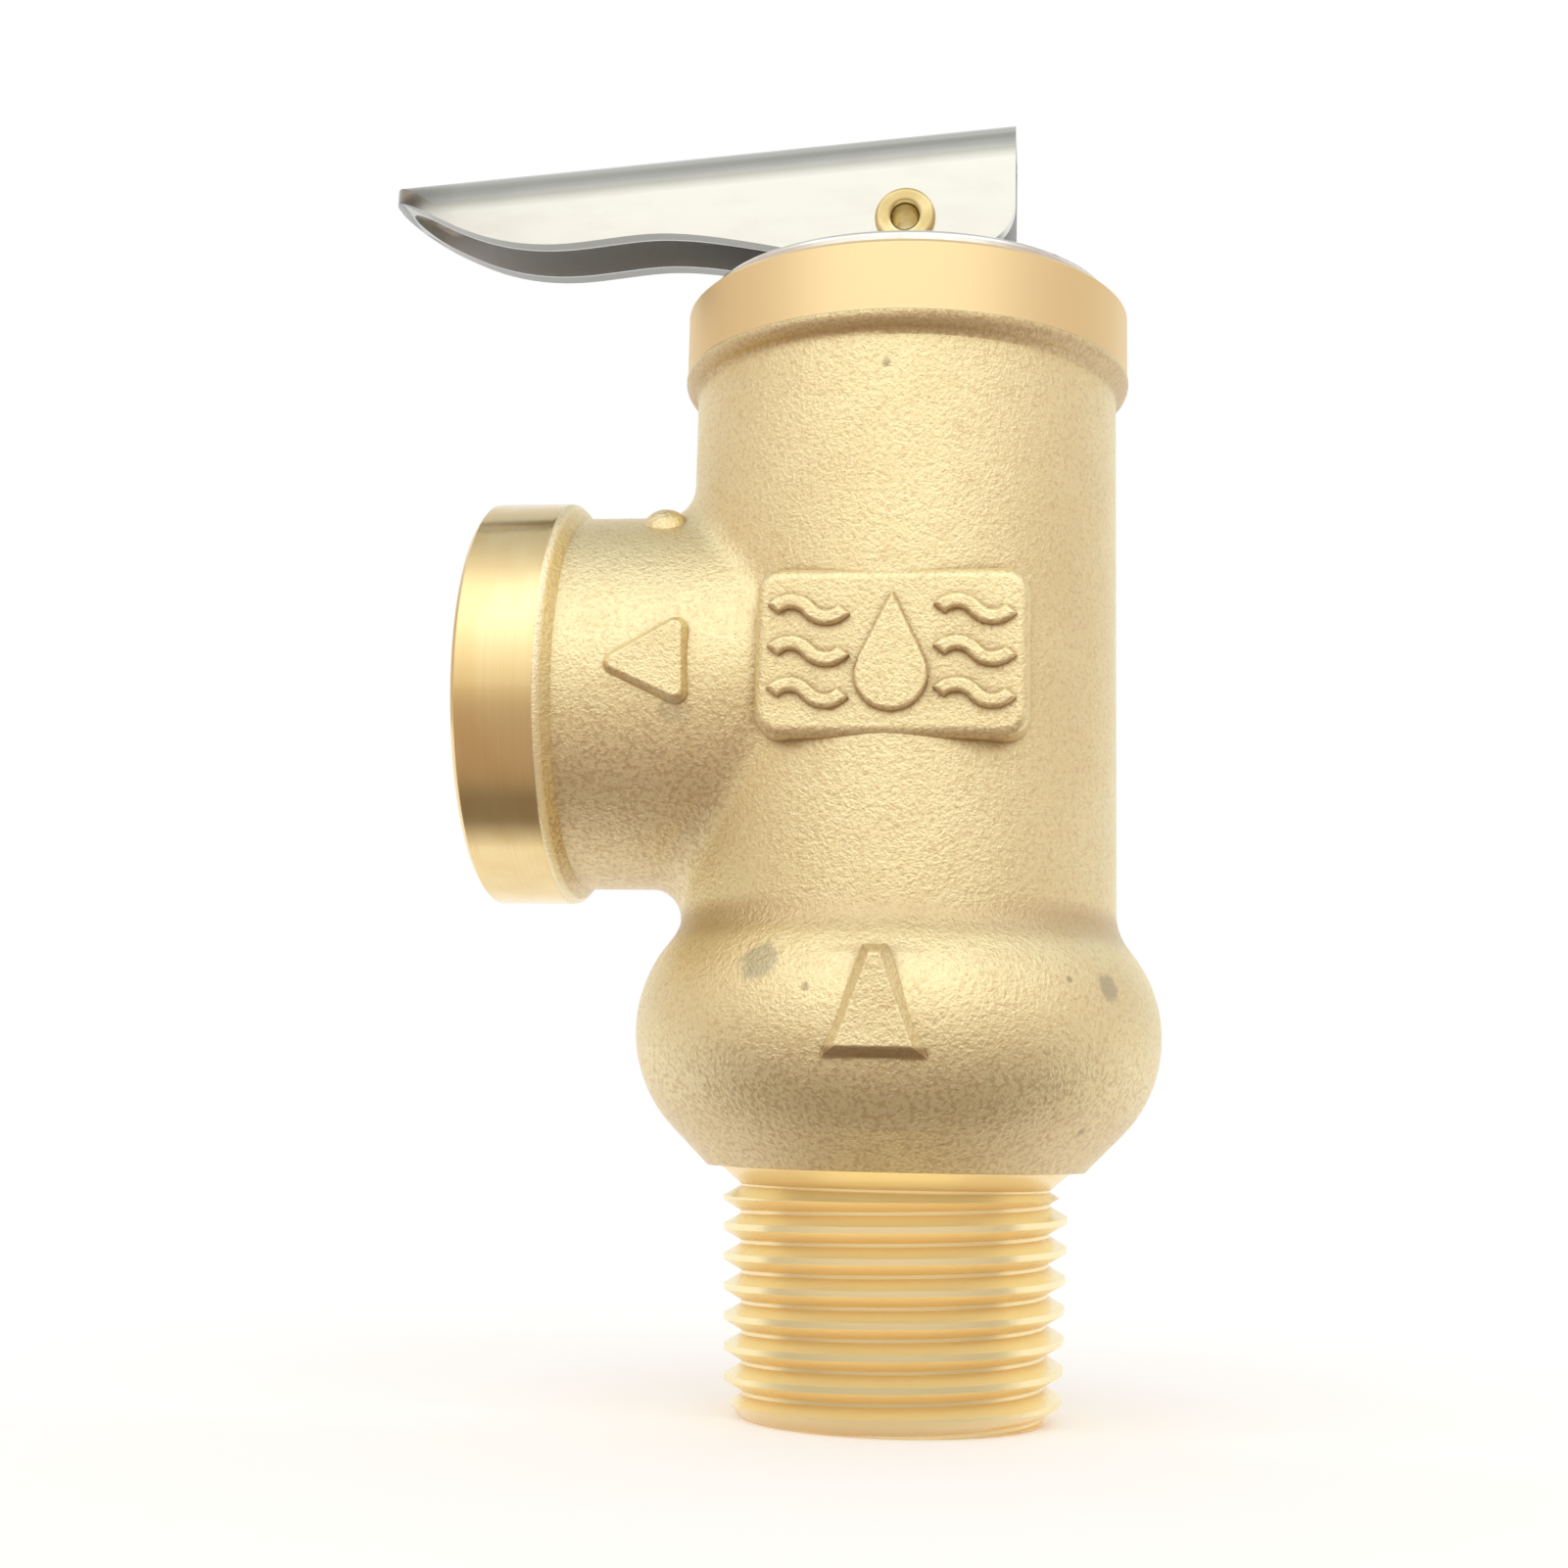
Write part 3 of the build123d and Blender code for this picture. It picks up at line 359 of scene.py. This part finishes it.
# Painted reflection: brightness across the bend from the top edge down, and from the tip along
# the nose
BEND_PAINTED_REFLECTION = [
    (0.0, 1.0),
    (0.18, 1.0),
    (0.27, 0.98),
    (0.35, 0.64),
    (0.44, 0.43),
    (0.53, 0.38),
    (0.61, 0.46),
    (0.70, 0.62),
    (0.79, 0.80),
    (0.90, 0.97),
]
NOSE_PAINTED_REFLECTION = [(0.0, 0.40), (0.12, 0.55), (0.36, 0.88), (0.70, 0.96), (1.0, 1.0)]


def lever_plating():
    """Bright plating over pressed steel, dull inside and on its cut edges.

    The grey along the bend and the nose is a painted reflection.
    """
    material, g, place = start_material("lever_plating")
    x, y, z = g.axes(place)
    low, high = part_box("lever")
    tip_x, heel_x, top = low.x / MM, high.x / MM, high.z / MM
    top_here = g.math("ADD", g.both(g.math("SUBTRACT", x, heel_x), LEVER_SLOPE), top)
    below = g.math("SUBTRACT", top_here, z)

    wave = g.noise(place, 0.16, 2.0, 0.5)
    wipe = g.noise(g.scaled(place, 0.25, 0.8, 0.8), 1.0, 2.0, 0.5)
    speck = g.noise(place, 4.0, 2.0, 0.5)
    colour = g.mix(g.step(wipe, 0.40, 0.70), (0.755, 0.755, 0.70), (0.735, 0.735, 0.68))
    colour = g.mix(g.step(speck, 0.66, 0.80, 0.0, 0.35), colour, (0.62, 0.61, 0.57))
    bend = g.ramp(g.straight(below, 0.0, LEVER_BEND_DEPTH), BEND_PAINTED_REFLECTION)
    colour = g.mix(1.0, colour, bend, "MULTIPLY")
    nose = g.ramp(g.straight(x, tip_x, tip_x + LEVER_NOSE_LENGTH), NOSE_PAINTED_REFLECTION)
    colour = g.mix(1.0, colour, nose, "MULTIPLY")
    cut_edge = g.both(g.step(g.upward(), -0.55, -0.80), g.step(below, 2.4, 2.8))
    colour = g.mix(cut_edge, colour, (0.30, 0.30, 0.28))
    between = g.step(g.math("ABSOLUTE", y), LEVER_INSIDE_Y + 0.12, LEVER_INSIDE_Y)
    inside = g.both(between, g.step(below, 0.9, 1.1))
    inside = g.both(inside, g.step(x, tip_x + 0.9, tip_x + 1.1))
    colour = g.mix(inside, colour, (0.62, 0.63, 0.63))
    roughness = g.step(wipe, 0.35, 0.75, 0.16, 0.24)
    roughness = g.lerp(inside, roughness, 0.45)
    height = g.math("ADD", wave, g.both(wipe, 0.02))
    end_material(g, colour, roughness, height, depth=0.02)
    return material


def plated_plate(name):
    """Thin bright plate with turning rings about the stem."""
    material, g, place = start_material(name)
    x, y, z = g.axes(place)
    along = g.node("ShaderNodeCombineXYZ", {"X": g.distance(x, y), "Y": z}).outputs[0]
    lines = g.noise(g.scaled(along, 6.0, 6.0, 1.0), 1.0, 3.0, 0.6)
    patch = g.noise(place, 0.4, 3.0, 0.6)
    colour = g.mix(g.step(patch, 0.35, 0.7), (0.86, 0.85, 0.81), (0.76, 0.74, 0.69))
    roughness = g.step(lines, 0.3, 0.7, 0.16, 0.30)
    end_material(g, colour, roughness, lines, depth=0.008)
    return material


def soft_solid(name, light, dark, rough, grain, depth):
    """Rubber or moulded plastic: matt, with a fine moulded grain."""
    material, g, place = start_material(name)
    patch = g.noise(place, 0.6, 3.0, 0.6)
    fine = g.noise(place, grain, 3.0, 0.6)
    colour = g.mix(g.step(patch, 0.35, 0.7), light, dark)
    roughness = g.step(fine, 0.3, 0.7, rough, rough + 0.15)
    end_material(g, colour, roughness, fine, depth=depth, metallic=0.0)
    return material


BRASS = body_brass()
CHROME = lever_plating()
PLATE = plated_plate("bonnet_plating")
PIN_BRASS = turned_metal("pin_brass", (0.84, 0.71, 0.39), (0.64, 0.51, 0.24), 0.22)
INNER_BRASS = turned_metal("inner_brass", (0.82, 0.60, 0.27), (0.68, 0.46, 0.18), 0.24)
BRIGHT_STEEL = turned_metal("bright_steel", (0.62, 0.61, 0.59), (0.48, 0.47, 0.45), 0.24)
SPRING_STEEL = turned_metal("spring_steel", (0.50, 0.49, 0.47), (0.34, 0.33, 0.32), 0.28)
RUBBER = soft_solid(
    "seal_rubber", (0.020, 0.020, 0.021), (0.040, 0.039, 0.038), 0.55, 3.0, 0.012
)
BUSH = soft_solid("bush_plastic", (0.78, 0.76, 0.70), (0.66, 0.64, 0.57), 0.40, 2.0, 0.008)

FINISH = {
    "valve_body": BRASS,
    "bonnet_cap": PLATE,
    "lever": CHROME,
    "lever_pin": PIN_BRASS,
    "pin_washers": BUSH,
    "guide_bush": BUSH,
    "lock_ring": INNER_BRASS,
    "adjusting_ring": INNER_BRASS,
    "upper_spring_plate": INNER_BRASS,
    "lower_spring_plate": INNER_BRASS,
    "disc_holder": INNER_BRASS,
    "thrust_washer": BRIGHT_STEEL,
    "stem": BRIGHT_STEEL,
    "washer_plate": BRIGHT_STEEL,
    "retaining_screw": BRIGHT_STEEL,
    "stem_clip": SPRING_STEEL,
    "spring": SPRING_STEEL,
    "bonnet_oring": RUBBER,
    "stem_oring": RUBBER,
    "seat_washer": RUBBER,
}
for name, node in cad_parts.items():
    node.data.materials.clear()
    node.data.materials.append(FINISH[name])


# ------------------------------------------------------------------ relief spring
WIRE_RADIUS = 1.1 * MM
TURNS = 7.0
CLOSED_TURNS = 1.0
STEPS_PER_TURN = 36
POINTS_AROUND = 14


def spring_mesh():
    """The relief spring as a wound wire whose two ends are closed up and ground flat."""
    low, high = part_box("spring")
    coil_radius = (high.x - low.x) / 2 - WIRE_RADIUS
    steps, around = int(TURNS * STEPS_PER_TURN), POINTS_AROUND
    bottom, top = low.z, high.z
    points, faces = [], []
    for i in range(steps + 1):
        turn = i / STEPS_PER_TURN
        inner = min(max((turn - CLOSED_TURNS) / (TURNS - 2 * CLOSED_TURNS), 0.0), 1.0)
        z0 = bottom + WIRE_RADIUS * min(turn / CLOSED_TURNS, 1.0)
        z1 = top - WIRE_RADIUS * min((TURNS - turn) / CLOSED_TURNS, 1.0)
        centre_z = z0 + (z1 - z0) * inner
        angle = 2 * math.pi * turn
        for k in range(around):
            lean = 2 * math.pi * k / around
            reach = coil_radius + WIRE_RADIUS * math.cos(lean)
            z = min(max(centre_z + WIRE_RADIUS * math.sin(lean), bottom), top)
            points.append((reach * math.cos(angle), reach * math.sin(angle), z))
    for i in range(steps):
        for k in range(around):
            a, b = i * around + k, i * around + (k + 1) % around
            faces.append((a, a + around, b + around, b))
    faces.append(tuple(range(around)))
    faces.append(tuple(steps * around + k for k in reversed(range(around))))
    mesh = bpy.data.meshes.new("relief_spring")
    mesh.from_pydata(points, [], faces)
    mesh.polygons.foreach_set("use_smooth", [True] * len(faces))
    mesh.materials.append(SPRING_STEEL)
    made = place_object("relief_spring", mesh)
    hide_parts("spring")
    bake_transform(made)


spring_mesh()


# ------------------------------------------------------------------- studio
FLOOR_HALF = 3.0
FLOOR_Z = -0.00002
FLOOR_WHITE = (0.93, 0.93, 0.93, 1.0)
FLOOR_GLOW = 0.17

CARD_HALF = 1.2
CARD_NEAR_Y = -0.003
CARD_FAR_Y = -3.2
CARD_Z = 0.0001
# Distance in front of the valve's axis, in metres, and the card's glow there, fitted to the
# reflections in the photo
CARD_GLOWS = [
    (3.20, (0.82, 0.72, 0.60)),
    (0.430, (0.74, 0.62, 0.50)),
    (0.126, (0.56, 0.44, 0.36)),
    (0.070, (0.52, 0.39, 0.31)),
    (0.042, (0.48, 0.36, 0.28)),
    (0.031, (0.27, 0.22, 0.175)),
    (0.020, (0.25, 0.205, 0.165)),
    (0.013, (0.27, 0.22, 0.18)),
    (0.009, (0.38, 0.31, 0.25)),
    (0.0055, (0.78, 0.68, 0.58)),
    (0.003, (0.93, 0.87, 0.80)),
]


def flat_sheet(name, half, far_y, near_y, z, material):
    """A level rectangle that is part of the studio, not of the valve."""
    mesh = bpy.data.meshes.new(name)
    corners = [(-half, far_y, 0), (half, far_y, 0), (half, near_y, 0), (-half, near_y, 0)]
    mesh.from_pydata(corners, [], [(0, 1, 2, 3)])
    mesh.materials.append(material)
    made = place_object(name, mesh)
    made.location.z = z
    return made


def floor():
    """A plain white floor under the valve."""
    material, g, _ = start_material("floor_white")
    shader = end_material(g, FLOOR_WHITE, 0.9, metallic=0.0)
    shader.inputs["Emission Color"].default_value = FLOOR_WHITE
    shader.inputs["Emission Strength"].default_value = FLOOR_GLOW
    flat_sheet("floor", FLOOR_HALF, -FLOOR_HALF, FLOOR_HALF, FLOOR_Z, material)


def dark_card():
    """A dark card on the floor in front, seen only in reflections."""
    material = bpy.data.materials.new("dark_card")
    material.use_nodes = True
    g = Graph(material.node_tree)
    place = g.node("ShaderNodeTexCoord").outputs["Object"]
    span = CARD_NEAR_Y - CARD_FAR_Y
    stops = [((-away - CARD_FAR_Y) / span, colour) for away, colour in CARD_GLOWS]
    glow = g.ramp(g.straight(g.axes(place)[1], CARD_FAR_Y, CARD_NEAR_Y), stops)
    light = g.node("ShaderNodeEmission", {"Color": glow})
    out = g.node("ShaderNodeOutputMaterial")
    g.tree.links.new(light.outputs[0], out.inputs["Surface"])
    made = flat_sheet("dark_card", CARD_HALF, CARD_FAR_Y, CARD_NEAR_Y, CARD_Z, material)
    made.visible_camera = False
    made.visible_diffuse = False
    made.visible_shadow = False
    made.visible_transmission = False


# The room's glow by height in degrees above the horizon, on the camera's side and behind the
# valve, fitted to the photo
LOWEST = -90
FRONT_GLOWS = [
    (LOWEST, 0.9),
    (-5, (0.82, 0.72, 0.60)),
    (7, (1.00, 0.91, 0.80)),
    (17, (1.18, 1.13, 1.05)),
    (28, (1.40, 1.39, 1.33)),
    (39, 1.64),
    (50, 1.60),
    (59, 1.36),
    (68, 0.98),
    (78, 0.76),
    (89, 0.70),
]
BACK_GLOWS = [
    (LOWEST, 0.9),
    (-5, 1.0),
    (30, 0.95),
    (50, 0.74),
    (70, 0.62),
    (84, 0.68),
    (89, 0.72),
]
SIDE_GLOW = (0.74, 0.62, 0.54)
WHITE = (1.0, 1.0, 1.0)


def world_light():
    """A soft room: a bright panel high in front, dimmer sides, plain white to the camera."""
    world = bpy.data.worlds.new("studio")
    bpy.context.scene.world = world
    world.use_nodes = True
    g = Graph(world.node_tree)
    x, y, z = g.axes(g.node("ShaderNodeTexCoord").outputs["Generated"])
    height = g.math("ADD", g.math("DIVIDE", g.math("ARCSINE", z), math.pi), 0.5)
    front, back = (
        g.ramp(height, [(degrees / 180 + 0.5, glow) for degrees, glow in glows])
        for glows in (FRONT_GLOWS, BACK_GLOWS)
    )
    light = g.mix(g.step(y, 0.15, -0.20), back, front)
    light = g.mix(g.step(g.math("ABSOLUTE", x), 0.52, 0.90, 0.0, 0.95), light, SIDE_GLOW)
    seen = g.node("ShaderNodeLightPath").outputs["Is Camera Ray"]
    sky = g.node("ShaderNodeBackground", {"Color": g.mix(seen, light, WHITE)})
    sky.inputs["Strength"].default_value = 1.0
    out = g.node("ShaderNodeOutputWorld")
    g.tree.links.new(sky.outputs[0], out.inputs["Surface"])


# Fitted to the round outlines in the photo: the camera's own axes, and its place in metres
CAMERA_RIGHT = Vector((0.99244, 0.12069, 0.02262))
CAMERA_UP = Vector((-0.00327, -0.15814, 0.98741))
CAMERA_BACK = Vector((0.12275, -0.98002, -0.15655))
CAMERA_PLACE = Vector((0.00967, -0.13788, 0.01758))


def camera():
    data = bpy.data.cameras.new("camera")
    data.sensor_width = 36.0
    data.lens = 49.65
    data.clip_start = 0.005
    data.clip_end = 20.0
    made = place_object("camera", data)
    columns = (CAMERA_RIGHT, CAMERA_UP, CAMERA_BACK, CAMERA_PLACE)
    rows = [tuple(column[i] for column in columns) for i in range(3)]
    made.matrix_world = Matrix((*rows, (0, 0, 0, 1)))
    bpy.context.scene.camera = made


floor()
dark_card()
world_light()
camera()
bpy.context.scene.view_settings.view_transform = "Standard"
